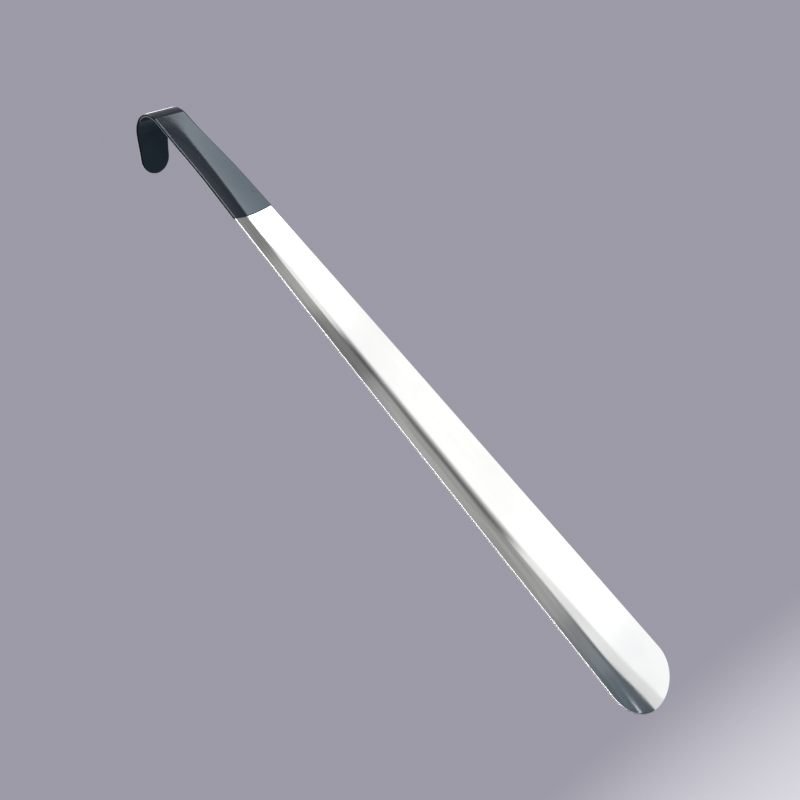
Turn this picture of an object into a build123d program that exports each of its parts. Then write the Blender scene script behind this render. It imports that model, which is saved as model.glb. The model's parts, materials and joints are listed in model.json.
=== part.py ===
from build123d import *
import math
import os

# Long shoehorn pressed from one strip of steel, with a dipped black sleeve over its upper end.
# Frame, mm: the origin is the centre of the rail the hook hangs on. +Z runs up the shaft, +X across
# the strip, and the channel of the blade opens toward -Y. The hook bends over toward +Y.

# overall
overall_length = 520.0
sheet = 1.0
sleeve_wall = 0.6
steel_edge_radius = 0.4
sleeve_edge_radius = 0.9

join_tolerance = 0.002

# hook
rail_radius = 15.5
hook_open = 58.5
tongue_length = 20.9
hook_half_width = 12.45
tongue_half_width = 11.3

# shaft and blade
blade_half_width = 27.0
channel_depth_top = 2.8
channel_depth_tip = 4.1
flat_length = 64.0
neck_length = 16.0
curve_length = 250.0
tip_flare = 0.0258
tip_length = 24.0

# sleeve
sleeve_length = 111.0

# worked out from the sizes above
mid_radius = rail_radius + sleeve_wall + sheet / 2
crest_z = mid_radius + sheet / 2 + sleeve_wall
tip_z = crest_z - overall_length
tip_centre_z = tip_z + tip_length
sleeve_end_z = crest_z - sleeve_length
widened_evenly = tip_flare * ((curve_length - neck_length) / 2 - tip_centre_z - curve_length)
neck_flare = (blade_half_width - hook_half_width - widened_evenly) / (curve_length / 2)


def half_width(z):
    """Half the width of the steel strip: a short neck, a long gentle curve, then straight sides."""
    neck = hook_half_width + neck_flare * min(-z, neck_length) ** 2 / (2 * neck_length)
    along = min(max(-z - neck_length, 0), curve_length - neck_length)
    ease = (neck_flare - tip_flare) * along**2 / (2 * (curve_length - neck_length))
    return neck + neck_flare * along - ease + tip_flare * max(-z - curve_length, 0)


def channel_depth(z):
    """Depth of the channel across the strip: none at the hook, full from flat_length down."""
    share = min(1.0, -z / flat_length)
    rise = share * share * (3.0 - 2.0 * share)
    run = -z / -tip_z
    return rise * (channel_depth_top + (channel_depth_tip - channel_depth_top) * run)


def strip_section(z, thickness):
    """Closed section across the curved strip at height z, wider than the finished strip."""
    w = half_width(z)
    d = channel_depth(z)
    r = (w * w + d * d) / (2 * d)
    a = math.asin(w / r) * 1.12 + 0.6 / r
    cy = -mid_radius - r
    ro = r + thickness / 2
    ri = r - thickness / 2
    outer = ThreePointArc(
        (-ro * math.sin(a), cy + ro * math.cos(a), z),
        (0, cy + ro, z),
        (ro * math.sin(a), cy + ro * math.cos(a), z),
    )
    inner = ThreePointArc(
        (ri * math.sin(a), cy + ri * math.cos(a), z),
        (0, cy + ri, z),
        (-ri * math.sin(a), cy + ri * math.cos(a), z),
    )
    right = Line(outer @ 1, inner @ 0)
    left = Line(inner @ 1, outer @ 0)
    return make_face([outer, right, inner, left])


def flat_section(z, thickness):
    """Flat section where the channel has run out, just below the hook."""
    w = half_width(z) * 1.12 + 0.6
    return Pos(0, -mid_radius, z) * Rectangle(2 * w, thickness)


def side(grow, low, way):
    """One long side of the outline, from the hook down: neck, curve, and straight run."""
    top = way * (hook_half_width + grow)
    neck = way * (half_width(-neck_length) + grow)
    knee_z = max(low, -curve_length)
    knee = way * (half_width(knee_z) + grow)
    parts = [TangentArc((top, 0), (neck, -neck_length), tangent=(0, -1))]
    parts.append(TangentArc((neck, -neck_length), (knee, knee_z), tangent=parts[0] % 1))
    if low < -curve_length:
        parts.append(Line((knee, knee_z), (way * (half_width(low) + grow), low)))
    return parts


def shaft_outline(grow, bottom):
    """Outline of the shaft and blade seen from the front, as a block through the channel."""
    b = tip_length + grow
    wc = blade_half_width + grow
    a = math.sqrt(wc * wc - tip_flare * tip_flare * b * b)
    start = math.degrees(math.asin(tip_flare * b / wc))
    top = hook_half_width + grow
    low = bottom
    if bottom is None:
        low = tip_centre_z + tip_flare * b * b / wc
    x = half_width(low) + grow
    lid = Line((top, 0), (-top, 0))
    if bottom is None:
        end = EllipticalCenterArc((0, tip_centre_z), a, b, 180 - start, arc_size=180 + 2 * start)
    else:
        end = Line((-x, low), (x, low))
    face = make_face([lid, *side(grow, low, -1), end, *side(grow, low, 1)])
    return extrude(Plane.XZ * face, amount=60, both=True)


def rounded(solid, radius, joins):
    """The strip with its long rims rounded; edges lying in the joining planes are left alone."""
    rims = []
    for edge in solid.edges():
        flat = [abs((edge @ t - plane.origin).dot(plane.z_dir)) < 0.01 for plane in joins for t in (0.1, 0.9)]
        pairs = [flat[i] and flat[i + 1] for i in range(0, len(flat), 2)]
        if edge.length > 3 and not any(pairs):
            rims.append(edge)
    return solid.fillet(radius, rims)


def level(z):
    """Plane across the shaft at height z."""
    return Plane(origin=(0, 0, z), z_dir=(0, 0, 1))


def shaft(thickness, grow, bottom, radius):
    """The straight part: a channel-shaped strip that flattens out toward the hook."""
    near = [flat_length * share for share in (0.25, 0.5, 0.75, 1.0)]
    far = [flat_length + (4 - tip_z - flat_length) * share for share in (0.07, 0.2, 0.4, 0.6, 0.8, 1.0)]
    sections = [flat_section(0, thickness)]
    sections += [strip_section(-down, thickness) for down in near + far]
    strip = (loft(sections) & shaft_outline(grow, bottom)).solids()[0]
    ends = [level(0)]
    if bottom is not None:
        ends.append(level(bottom))
    return rounded(strip, radius, ends)


def hook(thickness, grow, radius):
    """The bend over the rail and the tongue, which narrows a little to its round end."""
    w = hook_half_width + grow
    start = Pos(0, -mid_radius, 0) * Rectangle(2 * w, thickness)
    down = math.radians(hook_open)
    root = Vector(0, mid_radius * math.cos(down), mid_radius * math.sin(down))
    along = Vector(0, math.sin(down), -math.cos(down))
    bend = revolve(start, Axis.X, -(180 - hook_open)).solids()[0]
    bend = rounded(bend, radius, [level(0), Plane(origin=root, z_dir=along)])
    fall = hook_half_width - tongue_half_width
    sweep = (tongue_length**2 + fall**2) / (2 * fall)
    lean = math.asin(tongue_length / (sweep - grow))
    x = w - (sweep - grow) * (1 - math.cos(lean))
    r = x / math.cos(lean)
    y = tongue_length
    top = y + r - r * math.sin(lean)
    right = TangentArc((w, 0), (x, y), tangent=(0, 1))
    cap = ThreePointArc((x, y), (0, top), (-x, y))
    left = TangentArc((-w, 0), (-x, y), tangent=(0, 1))
    outline = make_face([right, cap, left, Line((-w, 0), (w, 0))])
    plane = Plane(origin=root, x_dir=(1, 0, 0), z_dir=Vector(1, 0, 0).cross(along))
    tongue = extrude(plane * outline, amount=thickness / 2, both=True).solids()[0]
    tongue = rounded(tongue, radius, [Plane(origin=root, z_dir=along)])
    return bend, tongue


def steel_horn():
    """The steel strip: hook, core of the handle, shaft and blade in one piece."""
    blade = shaft(sheet, 0.0, None, steel_edge_radius)
    return blade.fuse(*hook(sheet, 0.0, steel_edge_radius), tol=join_tolerance)


def grip_sleeve(steel):
    """The black sleeve: closed over the tongue's end, open where the bare steel leaves it."""
    thickness = sheet + 2 * sleeve_wall
    blank = shaft(thickness, sleeve_wall, sleeve_end_z, sleeve_edge_radius)
    blank = blank.fuse(*hook(thickness, sleeve_wall, sleeve_edge_radius), tol=join_tolerance)
    return blank - steel


os.makedirs("parts", exist_ok=True)
horn = steel_horn()
sleeve = grip_sleeve(horn)
export_step(horn, "parts/steel_horn.step")
export_step(sleeve, "parts/grip_sleeve.step")
for name, solid in (("steel_horn", horn), ("grip_sleeve", sleeve)):
    box = solid.bounding_box()
    print(name, len(solid.solids()), round(solid.volume, 1), box.min, box.max)
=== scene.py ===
# %% [markdown]
# # Long shoehorn
# A long shoehorn is one strip of steel. It is cut flat, pressed into a shallow channel, and bent over
# at its upper end so that it can hang on a rail. A black coat covers the bend and the grip.
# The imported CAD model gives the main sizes, so this script starts by loading it as a fixed frame.

# %% Load the frame
import json
import math

import bmesh
import bpy
from mathutils import Matrix, Vector


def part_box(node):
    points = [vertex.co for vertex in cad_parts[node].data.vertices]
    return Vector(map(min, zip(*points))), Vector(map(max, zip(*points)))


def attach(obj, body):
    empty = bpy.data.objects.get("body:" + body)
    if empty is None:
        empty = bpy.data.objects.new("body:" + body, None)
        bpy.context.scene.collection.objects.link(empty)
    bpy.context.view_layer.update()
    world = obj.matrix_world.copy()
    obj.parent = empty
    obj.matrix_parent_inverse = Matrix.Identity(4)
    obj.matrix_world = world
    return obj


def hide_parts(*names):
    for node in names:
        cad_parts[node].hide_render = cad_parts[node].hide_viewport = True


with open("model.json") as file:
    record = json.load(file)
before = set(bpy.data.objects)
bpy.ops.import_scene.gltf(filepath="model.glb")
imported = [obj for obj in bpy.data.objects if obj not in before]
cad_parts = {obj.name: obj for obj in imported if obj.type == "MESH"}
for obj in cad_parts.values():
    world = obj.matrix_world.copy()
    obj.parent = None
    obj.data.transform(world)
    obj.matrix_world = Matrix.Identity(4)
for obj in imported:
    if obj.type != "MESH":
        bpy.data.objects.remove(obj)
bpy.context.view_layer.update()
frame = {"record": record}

# %% [markdown]
# The sizes come from the frame: the boxes of the two CAD pieces and the hook's own radius. The coat's
# wall is the difference between the two crests, and what is left over the rail is the steel. The
# lengths and widths that the boxes don't show repeat the CAD model's own. The blade is kept a tenth of
# a millimetre inside its box on each side.

# %% Sizes, in metres
horn_low, horn_high = (Vector(corner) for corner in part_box("steel_horn"))
coat_low, coat_high = (Vector(corner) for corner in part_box("grip_sleeve"))
rail_radius = frame["record"]["mounts"][0]["dims"]["r_mm"] / 1000
coat_wall = coat_high.z - horn_high.z
sheet = horn_high.z - rail_radius - coat_wall
mid_radius = rail_radius + coat_wall + sheet / 2
spine_y = -mid_radius
inset = 0.0001
blade_half = horn_high.x - inset
tip_length = 0.024
tip_centre_z = horn_low.z + tip_length
hook_half = 0.01245
neck_length, curve_length, flat_length = 0.016, 0.250, 0.064
tip_flare = 0.0258
channel_root, channel_top, channel_tip = 0.00016, 0.0028, 0.0041
print("sheet", round(sheet * 1000, 2), "mm, coat", round(coat_wall * 1000, 2), "mm")

# %% [markdown]
# ## The camera
# The horn is seen from low on its left, close enough that the blade looks wider than it is beside the
# hook. The camera is placed by the three directions it looks along, because it is also tipped on its
# side: a look-at constraint would keep it upright.

# %% Camera
lens_over_sensor = 1.2417
camera_data = bpy.data.cameras.new("view")
camera_data.sensor_width = 36.0
camera_data.lens = lens_over_sensor * camera_data.sensor_width
camera_data.clip_end = 60
camera = bpy.data.objects.new("view", camera_data)
bpy.context.collection.objects.link(camera)
right = Vector((0.66755, -0.40198, -0.62673))
up = Vector((0.39372, -0.52385, 0.75536))
back = Vector((-0.63196, -0.75099, -0.19143))
turn = Matrix((right, up, back)).transposed()
stand = Vector((-0.40788, -0.49713, -0.38001))
camera.matrix_world = Matrix.LocRotScale(stand, turn, None)
bpy.context.scene.camera = camera
print("lens", round(camera_data.lens, 1), "mm")

# %% [markdown]
# ## Small helpers
# Every edit-mode operator acts on all that is selected, so each step first clears the selection and
# then picks points by their place. `apply_all` bakes the modifiers into the mesh, one after another.

# %% Helpers for working in edit mode
def start_edit(piece):
    bpy.ops.object.select_all(action="DESELECT")
    bpy.context.view_layer.objects.active = piece
    piece.select_set(True)
    bpy.ops.object.mode_set(mode="EDIT")
    bpy.ops.mesh.select_mode(type="VERT")
    bpy.ops.mesh.select_all(action="DESELECT")


def end_edit():
    bpy.ops.object.mode_set(mode="OBJECT")


def pick(piece, test):
    mesh = bmesh.from_edit_mesh(piece.data)
    for element in (*mesh.faces, *mesh.edges, *mesh.verts):
        element.select = False
    for vert in mesh.verts:
        vert.select = test(vert.co)
    mesh.select_flush(True)
    bmesh.update_edit_mesh(piece.data)
    return sum(vert.select for vert in mesh.verts)


def apply_all(piece):
    bpy.ops.object.select_all(action="DESELECT")
    bpy.context.view_layer.objects.active = piece
    piece.select_set(True)
    for modifier in list(piece.modifiers):
        bpy.ops.object.modifier_apply(modifier=modifier.name)


def tidy_mesh(piece):
    start_edit(piece)
    bpy.ops.mesh.select_all(action="SELECT")
    bpy.ops.mesh.remove_doubles(threshold=2e-6)
    bpy.ops.mesh.normals_make_consistent(inside=False)
    end_edit()


# %% [markdown]
# ## The outline of the strip
# The strip is narrow at the hook, begins to widen over a short neck, eases along a long gentle curve,
# and runs on straight to the round end of the blade. The channel across it is a mere trace at the
# hook and a few millimetres deep below the grip's middle. Two plain functions of the height hold both
# curves.

# %% Width and channel depth down the strip
long_curve = curve_length - neck_length
widened_evenly = tip_flare * (long_curve / 2 - tip_centre_z - curve_length)
neck_flare = (blade_half - hook_half - widened_evenly) / (curve_length / 2)


def half_width(z):
    down = max(-z, 0)
    neck = hook_half + neck_flare * min(down, neck_length) ** 2 / (2 * neck_length)
    along = min(max(down - neck_length, 0), long_curve)
    ease = (neck_flare - tip_flare) * along * along / (2 * long_curve)
    return neck + neck_flare * along - ease + tip_flare * max(down - curve_length, 0)


def channel_depth(z):
    share = min(1.0, max(0.0, -z / flat_length))
    full = channel_top + (channel_tip - channel_top) * z / horn_low.z
    return channel_root + share * share * (3 - 2 * share) * (full - channel_root)


neck_steps, blade_steps = 28, 56
neck_rows = [-flat_length * step / neck_steps for step in range(neck_steps + 1)]
blade_rows = [
    -flat_length + (tip_centre_z + flat_length) * step / blade_steps
    for step in range(1, blade_steps + 1)
]
print("rows", len(neck_rows) + len(blade_rows), "flare", round(neck_flare, 4))


# %% [markdown]
# ## The flat blank
# On the real horn a punch cuts the outline from flat sheet. Here a single row of faces is extruded
# down, row by row, and each new row is widened to its place. Extruding keeps every row level, which
# the press needs later.

# %% Draw a strip by extruding rows
def draw_strip(name, columns, rows, margin):
    first = rows[0] - rows[1]
    middle = (0, spine_y, rows[0] - first / 2)
    bpy.ops.object.select_all(action="DESELECT")
    bpy.ops.mesh.primitive_grid_add(
        x_subdivisions=columns, y_subdivisions=1, size=1, location=middle,
        rotation=(math.pi / 2, 0, 0),
    )
    strip = bpy.context.object
    strip.name = name
    bpy.ops.object.transform_apply(location=True, rotation=True, scale=True)
    start_edit(strip)
    bpy.ops.mesh.select_all(action="SELECT")
    size = (2 * half_width(rows[0]) * margin, 1, first)
    bpy.ops.transform.resize(value=size, center_override=middle)
    pick(strip, lambda co: abs(co.z - rows[1]) < 1e-6)
    bpy.ops.mesh.select_mode(type="EDGE")
    ratio = half_width(rows[1]) / half_width(rows[0])
    bpy.ops.transform.resize(value=(ratio, 1, 1), center_override=(0, spine_y, rows[1]))
    for above, below in zip(rows[1:], rows[2:]):
        bpy.ops.mesh.extrude_region_move(TRANSFORM_OT_translate={"value": (0, 0, below - above)})
        ratio = half_width(below) / half_width(above)
        bpy.ops.transform.resize(value=(ratio, 1, 1), center_override=(0, spine_y, below))
    end_edit()
    return strip


horn = draw_strip("pressed_horn", 32, neck_rows + blade_rows, 1.0)
print("strip faces", len(horn.data.polygons))

# %% [markdown]
# The blade's round end is half of the last row spun half a turn, then squeezed a little, because the
# end is an ellipse rather than a circle. A spin leaves no seam against the straight rows.

# %% Spin the round end of the blade
disc_steps = 36
start_edit(horn)
pick(horn, lambda co: abs(co.z - tip_centre_z) < 1e-6 and co.x > -1e-6)
bpy.ops.mesh.spin(
    steps=disc_steps, angle=-math.pi, center=(0, spine_y, tip_centre_z), axis=(0, 1, 0),
)
pick(horn, lambda co: co.z < tip_centre_z - 1e-6)
squeeze = tip_length / blade_half
bpy.ops.transform.resize(value=(1, 1, squeeze), center_override=(0, spine_y, tip_centre_z))
end_edit()
tidy_mesh(horn)
print("blank", len(horn.data.polygons), "faces, lowest", min(v.co.z for v in horn.data.vertices))

# %% [markdown]
# ## The press
# A die gives the blank its channel. The die is another, finer strip: its columns are lowered along a
# parabola, and each of its rows is then scaled to the depth that belongs there. It is a little wider
# and longer than the blank, so that every point of the blank lies over it.

# %% Make the die
margin = 1.04
above_top, below_tip = 0.006, 0.014
half_columns = 64
die_rows = [above_top, 0.0] + neck_rows[1:] + blade_rows
die_rows += [tip_centre_z - below_tip, tip_centre_z - 2 * below_tip]
die = draw_strip("press_die", 2 * half_columns, die_rows, margin)
start_edit(die)
for column in range(1, half_columns + 1):
    across = column / half_columns
    pick(die, lambda co: abs(abs(co.x) / (half_width(co.z) * margin) - across) < 1e-3)
    drop = -channel_tip * (across * margin) ** 2
    bpy.ops.transform.translate(value=(0, drop, 0))
for z in die_rows:
    pick(die, lambda co: abs(co.z - z) < 1e-5)
    share = channel_depth(z) / channel_tip
    bpy.ops.transform.resize(value=(1, share, 1), center_override=(0, spine_y, z))
end_edit()
print("die depth", min(v.co.y for v in die.data.vertices) - spine_y)

# %% [markdown]
# The blank is laid on the die with a Shrinkwrap that only moves points straight into it, as a press
# does. Shaping the blank's own points one by one would also work, but the die keeps the round end on
# the same surface.

# %% Press the blank onto the die
press = horn.modifiers.new("press", "SHRINKWRAP")
press.target = die
press.wrap_method = "PROJECT"
press.use_project_y = True
press.use_negative_direction = True
press.use_positive_direction = True
apply_all(horn)
bpy.data.objects.remove(die)
depth = spine_y - min(v.co.y for v in horn.data.vertices)
print("channel", round(depth * 1000, 2), "mm deep")

# %% [markdown]
# ## The hook
# The strip's upper end is bent over a mandrel: the top row is spun about the rail's own axis. The
# trace of channel in it is flattened over the first rows of the bend, so that it doesn't stop at a
# line. What follows is straight, so it is extruded, narrowing a little, and it ends in half a disc
# like the blade.

# %% Bend the hook over the rail
wrap = math.radians(121.5)
lie = math.pi - wrap
along = Vector((0, math.sin(lie), -math.cos(lie)))
root = Vector((0, math.cos(lie), math.sin(lie))) * mid_radius
bend_steps, flatten_steps, tongue_steps = 40, 10, 10
tongue_run = 0.0196
tongue_half = 0.01137


def along_tongue(co):
    return (co - root).dot(along)


start_edit(horn)
pick(horn, lambda co: co.z > -1e-6)
bpy.ops.mesh.spin(steps=bend_steps, angle=wrap, center=(0, 0, 0), axis=(1, 0, 0))
for step in range(1, bend_steps + 1):
    swept = wrap * step / bend_steps
    spine = Vector((0, -math.cos(swept), math.sin(swept))) * mid_radius
    pick(horn, lambda co: co.z > 0 and abs(math.atan2(co.z, -co.y) - swept) < 1e-4)
    left_over = max(0.0, 1 - step / flatten_steps)
    bpy.ops.transform.resize(value=(1, left_over, left_over), center_override=spine)
pick(horn, lambda co: co.z > 0 and abs(math.atan2(co.z, -co.y) - wrap) < 1e-4)
bpy.ops.mesh.select_mode(type="EDGE")
width = hook_half
for step in range(1, tongue_steps + 1):
    share = step / tongue_steps
    target = hook_half + (tongue_half - hook_half) * share * share * (3 - 2 * share)
    onward = along * tongue_run / tongue_steps
    bpy.ops.mesh.extrude_region_move(TRANSFORM_OT_translate={"value": onward})
    middle = root + along * tongue_run * share
    bpy.ops.transform.resize(value=(target / width, 1, 1), center_override=middle)
    width = target
pick(horn, lambda co: abs(along_tongue(co) - tongue_run) < 1e-6 and co.x > -1e-6 and co.y > 0)
turn_axis = Vector((1, 0, 0)).cross(along)
tongue_end = root + along * tongue_run
bpy.ops.mesh.spin(steps=disc_steps, angle=-math.pi, center=tongue_end, axis=turn_axis)
end_edit()
tidy_mesh(horn)
top = max(v.co.z for v in horn.data.vertices)
reach = max(v.co.y for v in horn.data.vertices)
print("crest", round(top * 1000, 2), "mm, reach", round(reach * 1000, 2), "mm")

# %% [markdown]
# ## Sheet thickness and rims
# The mesh so far is the middle of the sheet. Solidify gives it its thickness to both sides, and a
# Bevel rounds the two sharp edges all the way round, as the factory does so that the blade doesn't cut.
# The rim's faces are remembered in an attribute, so that the finish can differ there.

# %% Thicken the sheet and round its rims
rim_radius, rim_slot = 0.00040, 1


def mark_rim(piece):
    rim = piece.data.attributes.new("rim", "FLOAT", "POINT")
    for face in piece.data.polygons:
        if face.material_index == rim_slot:
            for corner in face.vertices:
                rim.data[corner].value = 1.0
        face.material_index = 0
    return sum(item.value for item in rim.data)


def smooth_all(piece, degrees):
    bpy.ops.object.select_all(action="DESELECT")
    bpy.context.view_layer.objects.active = piece
    piece.select_set(True)
    bpy.ops.object.shade_smooth_by_angle(angle=math.radians(degrees))
    weighted = piece.modifiers.new("weighted", "WEIGHTED_NORMAL")
    weighted.keep_sharp = True
    weighted.weight = 100
    bpy.ops.object.modifier_apply(modifier="weighted")


thicken = horn.modifiers.new("sheet", "SOLIDIFY")
thicken.thickness = sheet
thicken.offset = 0
thicken.use_even_offset = True
thicken.material_offset_rim = rim_slot
rounding = horn.modifiers.new("rims", "BEVEL")
rounding.width = rim_radius
rounding.segments = 4
rounding.limit_method = "ANGLE"
rounding.angle_limit = math.radians(60)
for slot in ("sheet", "rim"):
    horn.data.materials.append(None)
apply_all(horn)
print("horn faces", len(horn.data.polygons))

# %% [markdown]
# ## The black coat
# The grip and the hook have been dipped in black plastic. A copy of the steel is cut level where the
# coat ends, and what is left above the cut is thickened outwards by the coat's own wall. Because the
# coat grows from the steel's surface, it follows every rounding of it and softens the rims, as a
# dipped coat does.

# %% Grow the coat from the steel
bpy.ops.object.select_all(action="DESELECT")
bpy.context.view_layer.objects.active = horn
horn.select_set(True)
bpy.ops.object.duplicate()
coat = bpy.context.object
coat.name = "dipped_grip"
start_edit(coat)
bpy.ops.mesh.select_all(action="SELECT")
bpy.ops.mesh.bisect(plane_co=(0, 0, coat_low.z), plane_no=(0, 0, 1), clear_inner=True)
end_edit()
grow = coat.modifiers.new("wall", "SOLIDIFY")
grow.thickness = coat_wall
grow.offset = 1
grow.use_even_offset = True
apply_all(coat)
tidy_mesh(coat)
print("coat faces", len(coat.data.polygons))

# %% [markdown]
# The coat's lower lip gets a small rounding of its own, because a dipped edge is never sharp. Its outer
# edges are found by where they lie and by how far they are from the steel.

# %% Round the coat's lower lip
lip_radius = 0.0002
start_edit(coat)
bpy.ops.mesh.select_mode(type="EDGE")
lip = bmesh.from_edit_mesh(coat.data)
for edge in lip.edges:
    facing = [face.normal.z for face in edge.link_faces]
    middle = (edge.verts[0].co + edge.verts[1].co) / 2
    outside = (horn.closest_point_on_mesh(middle)[1] - middle).length > coat_wall / 2
    level = abs(middle.z - coat_low.z) < 1e-5
    edge.select_set(outside and level and min(facing) < -0.9 and max(facing) > -0.5)
bmesh.update_edit_mesh(coat.data)
print("lip edges", sum(edge.select for edge in lip.edges))
bpy.ops.mesh.bevel(offset=lip_radius, segments=3, affect="EDGES")
end_edit()

# %% [markdown]
# Both pieces are shaded smooth except over real corners, and their normals lean on the larger faces,
# so that the narrow roundings don't disturb the reflections beside them.

# %% Mark the rims and smooth both pieces
corner_degrees = 35
print("rim points", mark_rim(horn))
smooth_all(horn, corner_degrees)
smooth_all(coat, corner_degrees)

# %% [markdown]
# ## Node helpers
# The two finishes share effects: a fine lengthwise grain and the marks of handling. Each effect is a
# shader node group, so that a finish only says how strong it is. These helpers keep the wiring short.

# %% Helpers for shader nodes
def add_node(tree, kind, **settings):
    node = tree.nodes.new(kind)
    for key, value in settings.items():
        setattr(node, key, value)
    return node


def calculate(tree, operation, first, second):
    node = add_node(tree, "ShaderNodeMath", operation=operation)
    for socket, value in zip(node.inputs, (first, second)):
        if isinstance(value, (int, float)):
            socket.default_value = value
        else:
            tree.links.new(value, socket)
    return node.outputs[0]


def stretch(tree, place, scale):
    node = add_node(tree, "ShaderNodeVectorMath", operation="MULTIPLY")
    tree.links.new(place, node.inputs[0])
    node.inputs[1].default_value = scale
    return node.outputs[0]


def noise(tree, place, scale, detail):
    node = add_node(tree, "ShaderNodeTexNoise")
    tree.links.new(place, node.inputs["Vector"])
    node.inputs["Scale"].default_value = scale
    node.inputs["Detail"].default_value = detail
    return node.outputs["Fac"]


def remap(tree, value, low, high, low_out, high_out, curve="SMOOTHSTEP"):
    node = add_node(tree, "ShaderNodeMapRange", interpolation_type=curve)
    tree.links.new(value, node.inputs["Value"])
    names = ("From Min", "From Max", "To Min", "To Max")
    for name, number in zip(names, (low, high, low_out, high_out)):
        node.inputs[name].default_value = number
    return node.outputs["Result"]


def new_group(name, outputs):
    group = bpy.data.node_groups.new(name, "ShaderNodeTree")
    group.interface.new_socket(name="Place", in_out="INPUT", socket_type="NodeSocketVector")
    for output in outputs:
        group.interface.new_socket(name=output, in_out="OUTPUT", socket_type="NodeSocketFloat")
    start = group.nodes.new("NodeGroupInput")
    end = group.nodes.new("NodeGroupOutput")
    return group, start.outputs["Place"], end


# %% [markdown]
# ## The polishing grain
# A belt polishes the strip lengthwise and leaves hair-fine lines. Noise squeezed across the strip and
# stretched along it gives such lines. They are far too fine to see one by one, but they draw each
# highlight out a little along the blade.

# %% Lengthwise grain group
grain_group, place, end = new_group("lengthwise_grain", ["Height"])
fine = noise(grain_group, stretch(grain_group, place, (1, 1, 0.02)), 2600, 3)
broad = noise(grain_group, stretch(grain_group, place, (1, 1, 0.06)), 420, 2)
mixed = calculate(grain_group, "ADD", calculate(grain_group, "MULTIPLY", fine, 0.65),
                  calculate(grain_group, "MULTIPLY", broad, 0.35))
grain_group.links.new(mixed, end.inputs["Height"])
print("group", grain_group.name)

# %% [markdown]
# ## Marks of handling
# Hands leave soft smudges, a few hairline scratches and specks of dust. Smudges are broad soft noise.
# Scratches are the thin seams between long Voronoi cells, kept only in some patches. Specks are the
# middles of a few small Voronoi cells.

# %% Handling group
marks_group, place, end = new_group("handling_marks", ["Smudge", "Scratch", "Speck"])
smudge = remap(marks_group, noise(marks_group, place, 34, 4), 0.48, 0.72, 0, 1)
marks_group.links.new(smudge, end.inputs["Smudge"])
seams = add_node(marks_group, "ShaderNodeTexVoronoi", feature="DISTANCE_TO_EDGE")
seams.inputs["Scale"].default_value = 90
marks_group.links.new(stretch(marks_group, place, (1, 1, 0.22)), seams.inputs["Vector"])
line = remap(marks_group, seams.outputs["Distance"], 0.0, 0.012, 1, 0)
patch = remap(marks_group, noise(marks_group, place, 55, 2), 0.56, 0.66, 0, 1)
marks_group.links.new(calculate(marks_group, "MULTIPLY", line, patch), end.inputs["Scratch"])
cells = add_node(marks_group, "ShaderNodeTexVoronoi", feature="F1")
cells.inputs["Scale"].default_value = 700
marks_group.links.new(place, cells.inputs["Vector"])
dot = remap(marks_group, cells.outputs["Distance"], 0.10, 0.22, 1, 0)
shade = add_node(marks_group, "ShaderNodeSeparateColor")
marks_group.links.new(cells.outputs["Color"], shade.inputs["Color"])
chosen = calculate(marks_group, "GREATER_THAN", shade.outputs[0], 0.93)
marks_group.links.new(calculate(marks_group, "MULTIPLY", dot, chosen), end.inputs["Speck"])
print("group", marks_group.name)


# %% [markdown]
# ## Starting a finish
# Each finish reads the piece's own coordinates, places both groups, and hands back their outputs.

# %% New finish with both groups placed
def new_finish(name, colour, metallic, roughness):
    finish = bpy.data.materials.new(name)
    finish.use_nodes = True
    tree = finish.node_tree
    shader = tree.nodes["Principled BSDF"]
    shader.inputs["Base Color"].default_value = (*colour, 1)
    shader.inputs["Metallic"].default_value = metallic
    shader.inputs["Roughness"].default_value = roughness
    where = add_node(tree, "ShaderNodeTexCoord").outputs["Object"]
    marks = add_node(tree, "ShaderNodeGroup", node_tree=marks_group)
    grain = add_node(tree, "ShaderNodeGroup", node_tree=grain_group)
    tree.links.new(where, marks.inputs["Place"])
    tree.links.new(where, grain.inputs["Place"])
    return finish, tree, shader, where, marks.outputs, grain.outputs["Height"]


def tint(tree, shader, base, other, mask, strength):
    mix = add_node(tree, "ShaderNodeMix", data_type="RGBA")
    tree.links.new(calculate(tree, "MULTIPLY", mask, strength), mix.inputs["Factor"])
    mix.inputs[6].default_value = (*base, 1)
    mix.inputs[7].default_value = (*other, 1)
    tree.links.new(mix.outputs[2], shader.inputs["Base Color"])


def sum_of(tree, start, *parts):
    total = start
    for value, amount in parts:
        total = calculate(tree, "ADD", calculate(tree, "MULTIPLY", value, amount), total)
    return total


def relief(tree, shader, height, distance, strength):
    bump = add_node(tree, "ShaderNodeBump")
    bump.inputs["Distance"].default_value = distance
    bump.inputs["Strength"].default_value = strength
    tree.links.new(height, bump.inputs["Height"])
    tree.links.new(bump.outputs["Normal"], shader.inputs["Normal"])


# %% [markdown]
# ## Polished steel
# Stainless steel, polished nearly to a mirror. It is a metal of its own pale grey. Smudges and
# scratches roughen it and the grain gives it a fine lengthwise relief. The rounded rims were tumbled,
# not belt-polished, so they are slightly rougher and catch light from more sides.

# %% Polished steel
steel_grey = (0.80, 0.80, 0.79)
steel, tree, shader, where, marks, grain = new_finish("polished_steel", steel_grey, 1.0, 0.07)
tint(tree, shader, steel_grey, (0.70, 0.71, 0.73), marks["Smudge"], 0.35)
edge = add_node(tree, "ShaderNodeAttribute", attribute_name="rim").outputs["Fac"]
rough = sum_of(
    tree, 0.055, (grain, 0.03), (marks["Smudge"], 0.03), (marks["Scratch"], 0.12), (edge, 0.30),
)
tree.links.new(rough, shader.inputs["Roughness"])
height = sum_of(tree, 0.0, (grain, 0.12), (marks["Scratch"], -0.5))
height = calculate(tree, "MULTIPLY", height, calculate(tree, "SUBTRACT", 1.0, edge))
relief(tree, shader, height, 0.000005, 0.3)
print("finish", steel.name)

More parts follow.
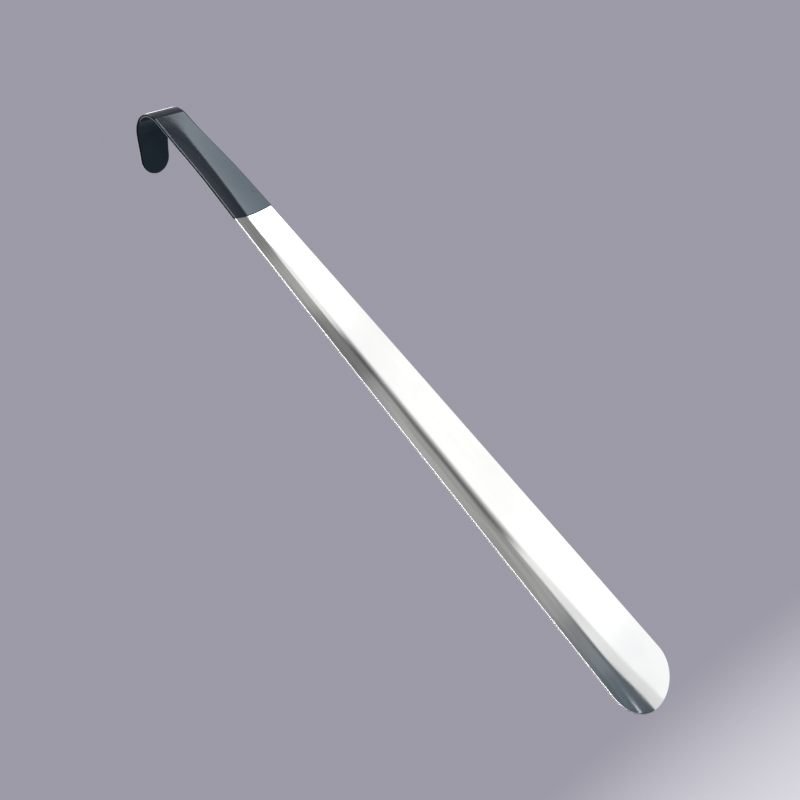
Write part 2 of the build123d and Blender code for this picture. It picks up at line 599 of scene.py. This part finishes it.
# %% [markdown]
# ## Gloss black coat
# The coat is black plastic with a wet gloss. Dipping leaves a very slight ripple, called orange peel,
# so reflections on it waver a little. Dust specks show on black as pale dots, and palms dull the gloss
# in soft patches.

# %% Gloss black
black = (0.006, 0.008, 0.013)
gloss, tree, shader, where, marks, grain = new_finish("sleeve_black", black, 0.0, 0.09)
tint(tree, shader, black, (0.16, 0.16, 0.17), marks["Speck"], 0.6)
rough = sum_of(tree, 0.07, (marks["Smudge"], 0.05), (marks["Scratch"], 0.2), (marks["Speck"], 0.3))
tree.links.new(rough, shader.inputs["Roughness"])
shader.inputs["Specular Tint"].default_value = (0.72, 0.88, 1.0, 1)
peel = noise(tree, where, 240, 2)
height = sum_of(tree, 0.0, (peel, 1.0), (marks["Scratch"], -0.1))
relief(tree, shader, height, 0.00004, 0.25)
print("finish", gloss.name)


# %% [markdown]
# ## Onto the frame
# Each finished piece stands for its CAD node, takes its finish and rides on the part's one body.

# %% Dress the pieces and hand them to the frame
def dress(piece, finish, node):
    piece.data.materials.clear()
    piece.data.materials.append(finish)
    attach(piece, "root")
    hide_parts(node)


dress(horn, steel, "steel_horn")
dress(coat, gloss, "grip_sleeve")
print("dressed", horn.name, coat.name)

# %% [markdown]
# ## The studio
# A mirror shows its room, so the room decides how steel looks. The room is painted on the world, as a
# radiance for each direction, because that places every edge of light exactly where the channel of the
# blade will pick it up. Directions are given as an azimuth, which is 0 in front and grows to the
# right, and an elevation, both in degrees.

# %% Directions in the room
world = bpy.data.worlds.new("room")
bpy.context.scene.world = world
world.use_nodes = True
room = world.node_tree
room.nodes.clear()
direction = add_node(room, "ShaderNodeTexCoord").outputs["Generated"]
ray = add_node(room, "ShaderNodeSeparateXYZ")
room.links.new(direction, ray.inputs[0])
to_degrees = 57.2958
forward = calculate(room, "MULTIPLY", ray.outputs["Y"], -1)
across = calculate(room, "ARCTAN2", ray.outputs["X"], forward)
azimuth = calculate(room, "MULTIPLY", across, to_degrees)
elevation = calculate(room, "MULTIPLY", calculate(room, "ARCSINE", ray.outputs["Z"], 0), to_degrees)


def between(value, low, high, edge):
    rise = remap(room, value, low - edge, low + edge, 0, 1)
    fall = remap(room, value, high - edge, high + edge, 1, 0)
    return calculate(room, "MULTIPLY", rise, fall)


def patch_of_light(horizontal, vertical, strength):
    return calculate(room, "MULTIPLY", calculate(room, "MULTIPLY", horizontal, vertical), strength)


print("directions", azimuth.node.name, elevation.node.name)

# %% [markdown]
# The front box is the large soft light that fills most of the channel with white. Its right edge
# leans in at the top, where it is sharp and follows the bend of the hook, and at the bottom. All
# else in the room is placed by how far it lies past that edge.

# %% The front box's right edge
base_edge = 56.3
hook_foot = 31
lean = calculate(room, "ADD", remap(room, elevation, 21, 30.5, 0, 15.5),
                 remap(room, elevation, 14, 17, 0.8, 0))
lean = calculate(room, "ADD", lean, remap(room, elevation, -3, 3, 2.7, 0))
lean = calculate(room, "ADD", lean, remap(room, elevation, -11, -7, 5.8, 0))
climb = calculate(room, "MAXIMUM", calculate(room, "SUBTRACT", elevation, hook_foot), 0)
slope = calculate(room, "ADD", calculate(room, "MULTIPLY", climb, 0.0254), 0.448)
follow = calculate(room, "MULTIPLY", climb, slope)
edge_line = calculate(room, "ADD", calculate(room, "SUBTRACT", base_edge, lean), follow)
past_edge = calculate(room, "SUBTRACT", azimuth, edge_line)
print("front box edge at", base_edge, "degrees")

# %% [markdown]
# Along most of the blade the box fades out slowly toward its right edge, so that the steel gets a soft
# dark crease. At both ends of the blade the fading part stops at a plain level instead, and the crease
# goes. A cap keeps the channel below pure white.

# %% The front box's brightness
fade = remap(room, elevation, 20.5, 24, 17, 0.6)
inside = calculate(room, "DIVIDE", calculate(room, "MULTIPLY", past_edge, -1), fade)
inside = calculate(room, "MINIMUM", calculate(room, "MAXIMUM", inside, 0), 1)
soft = calculate(room, "MULTIPLY", calculate(room, "POWER", inside, 2.2),
                 remap(room, elevation, -8, 2, 2.0, 3.8))
lower_end = patch_of_light(remap(room, elevation, -0.5, 1.8, 1, 0),
                           remap(room, elevation, -7, -4, 0.84, 0.64), 1)
upper_end = patch_of_light(between(elevation, 16, 22, 0.8), 1.0, 0.72)
plain = calculate(room, "MULTIPLY", remap(room, past_edge, -1.2, 0.2, 1, 0),
                  calculate(room, "MAXIMUM", lower_end, upper_end))
brightest = remap(room, elevation, 21, 23.2, 1.12, 3.8)
front = calculate(room, "MINIMUM", calculate(room, "MAXIMUM", soft, plain), brightest)
front = calculate(room, "MULTIPLY", front, between(azimuth, -6, 90, 4))
front = calculate(room, "MULTIPLY", front, between(elevation, -40, 42.5, 1.5))
print("front box from -6 to 90 degrees across, -40 to 42.5 up")

# %% [markdown]
# Beyond the edge the walls are grey in broad panels, a little cooler and darker low down. Each level
# is a height in degrees and the grey that the walls have there. The left side of the room is dark,
# which keeps the side of the coat black, and so is the crease beside the front box's edge.

# %% Walls
levels = (
    (-90, 0.40), (-22, 0.40), (-12, 0.10), (-10.3, 0.13), (-9.6, 0.20), (-8.8, 0.14),
    (-7.8, 0.24), (-4.8, 0.26), (-4.0, 0.38), (0.2, 0.41), (3, 0.385), (8, 0.44),
    (12.4, 0.46), (13.3, 0.20), (15.8, 0.24), (17.3, 0.24), (18.1, 0.45), (20.8, 0.43),
    (22.5, 0.25), (24.5, 0.27), (26, 0.34), (31, 0.46), (60, 0.42),
)
ramp = add_node(room, "ShaderNodeValToRGB")
while len(ramp.color_ramp.elements) < len(levels):
    ramp.color_ramp.elements.new(0.5)
for stop, (angle, grey) in zip(ramp.color_ramp.elements, levels):
    cool = min(0.22, max(0.0, -angle - 4) / 30)
    stop.position = (angle + 90) / 180
    stop.color = (grey * (1 - cool), grey, grey * (1 + cool), 1)
room.links.new(remap(room, elevation, -90, 90, 0, 1, "LINEAR"), ramp.inputs["Fac"])
darkest = calculate(room, "MULTIPLY", remap(room, elevation, -0.5, 1.8, 0.95, 0.3),
                    remap(room, elevation, -7.5, -5.5, 0.28, 1))
darkest = calculate(room, "MAXIMUM", darkest, remap(room, elevation, 15.5, 17, 0.3, 0.85))
clear = calculate(room, "MAXIMUM", remap(room, past_edge, -3, 4.5, 0, 1),
                  remap(room, azimuth, -100, -60, 1, 0))
crease = calculate(room, "MULTIPLY", calculate(room, "SUBTRACT", 1, darkest),
                   calculate(room, "SUBTRACT", 1, clear))
wall_side = calculate(room, "MAXIMUM", remap(room, azimuth, -40, -30, 0.3, 1),
                      remap(room, azimuth, -150, -146, 1, 0.3))
wall_side = calculate(room, "MULTIPLY", wall_side, calculate(room, "SUBTRACT", 1, crease))
mottle = remap(room, noise(room, direction, 11, 2), 0.35, 0.65, 0.86, 1.12)
wall_side = calculate(room, "MULTIPLY", wall_side, mottle)
print("walls", len(levels), "levels")

# %% [markdown]
# The smaller lights each draw one highlight. A broad box behind lights the horn's back, and a small one
# beside it draws the thin bright line along the crest of the hook. A box overhead lights what faces up,
# and a tiny one is the glint near the tip. On the left, a strip light draws the bright line along the
# rims, and a dim, soft panel beside it lifts the black a little where the coat turns to the left.

# %% The smaller lights
turned = calculate(room, "ABSOLUTE", azimuth, 0)
back_box = patch_of_light(remap(room, turned, 146, 156, 0, 1), between(elevation, -25, 45, 6), 2.2)
crest_box = patch_of_light(between(azimuth, 131, 143, 2), between(elevation, 33, 44, 2), 3.0)
overhead = patch_of_light(remap(room, elevation, 62, 68, 0, 1), 1.0, 1.8)
glint = patch_of_light(between(azimuth, 58.6, 60.2, 0.4), between(elevation, -10.8, -10.45, 0.1), 3.0)
strip_light = patch_of_light(between(azimuth, -30, -18, 2), between(elevation, -40, 47, 4), 13.0)
dim_panel = patch_of_light(between(azimuth, -16, -4, 6), between(elevation, -40, 42, 4), 0.55)
lights = front
for light in (back_box, crest_box, overhead, glint, strip_light, dim_panel):
    lights = calculate(room, "ADD", lights, light)
print("room", len(room.nodes), "nodes")

# %% [markdown]
# The camera itself sees a plain pale wall instead of all this, so the light path sorts the rays: what
# the camera sees directly is the plain colour, and everything else gets the room.

# %% Join the room
walls = add_node(room, "ShaderNodeVectorMath", operation="SCALE")
room.links.new(ramp.outputs["Color"], walls.inputs[0])
room.links.new(wall_side, walls.inputs["Scale"])
total = add_node(room, "ShaderNodeVectorMath", operation="ADD")
room.links.new(walls.outputs[0], total.inputs[0])
room.links.new(lights, total.inputs[1])
lit = add_node(room, "ShaderNodeBackground")
room.links.new(total.outputs[0], lit.inputs["Color"])
seen = add_node(room, "ShaderNodeBackground")
seen.inputs["Color"].default_value = (0.335, 0.325, 0.385, 1)
choose = add_node(room, "ShaderNodeMixShader")
room.links.new(add_node(room, "ShaderNodeLightPath").outputs["Is Camera Ray"], choose.inputs["Fac"])
room.links.new(lit.outputs[0], choose.inputs[1])
room.links.new(seen.outputs[0], choose.inputs[2])
room.links.new(choose.outputs[0], add_node(room, "ShaderNodeOutputWorld").inputs["Surface"])
world.cycles.sampling_method = "MANUAL"
world.cycles.sample_map_resolution = 2048
bpy.context.scene.view_settings.view_transform = "Standard"
print("world", world.name, "joined")

# %% [markdown]
# ## The floor
# A plain pale floor lies well below the horn, so that it never hides it in a low view. It fades out
# with distance instead of ending at a line.

# %% Floor
floor_radius, floor_z = 6, -1.5
bpy.ops.object.select_all(action="DESELECT")
bpy.ops.mesh.primitive_circle_add(
    vertices=96, radius=floor_radius, fill_type="NGON", location=(0, 0, floor_z),
)
floor = bpy.context.object
floor.name = "floor"
paint = bpy.data.materials.new("pale_floor")
paint.use_nodes = True
tree = paint.node_tree
shader = tree.nodes["Principled BSDF"]
shader.inputs["Base Color"].default_value = (0.66, 0.65, 0.70, 1)
shader.inputs["Roughness"].default_value = 0.8
distance = add_node(tree, "ShaderNodeVectorMath", operation="LENGTH")
tree.links.new(add_node(tree, "ShaderNodeTexCoord").outputs["Object"], distance.inputs[0])
tree.links.new(remap(tree, distance.outputs["Value"], 1.2, 5.5, 1, 0), shader.inputs["Alpha"])
floor.data.materials.append(paint)
floor.visible_glossy = False
floor.visible_diffuse = False
print("floor", round(floor.location.z, 2))
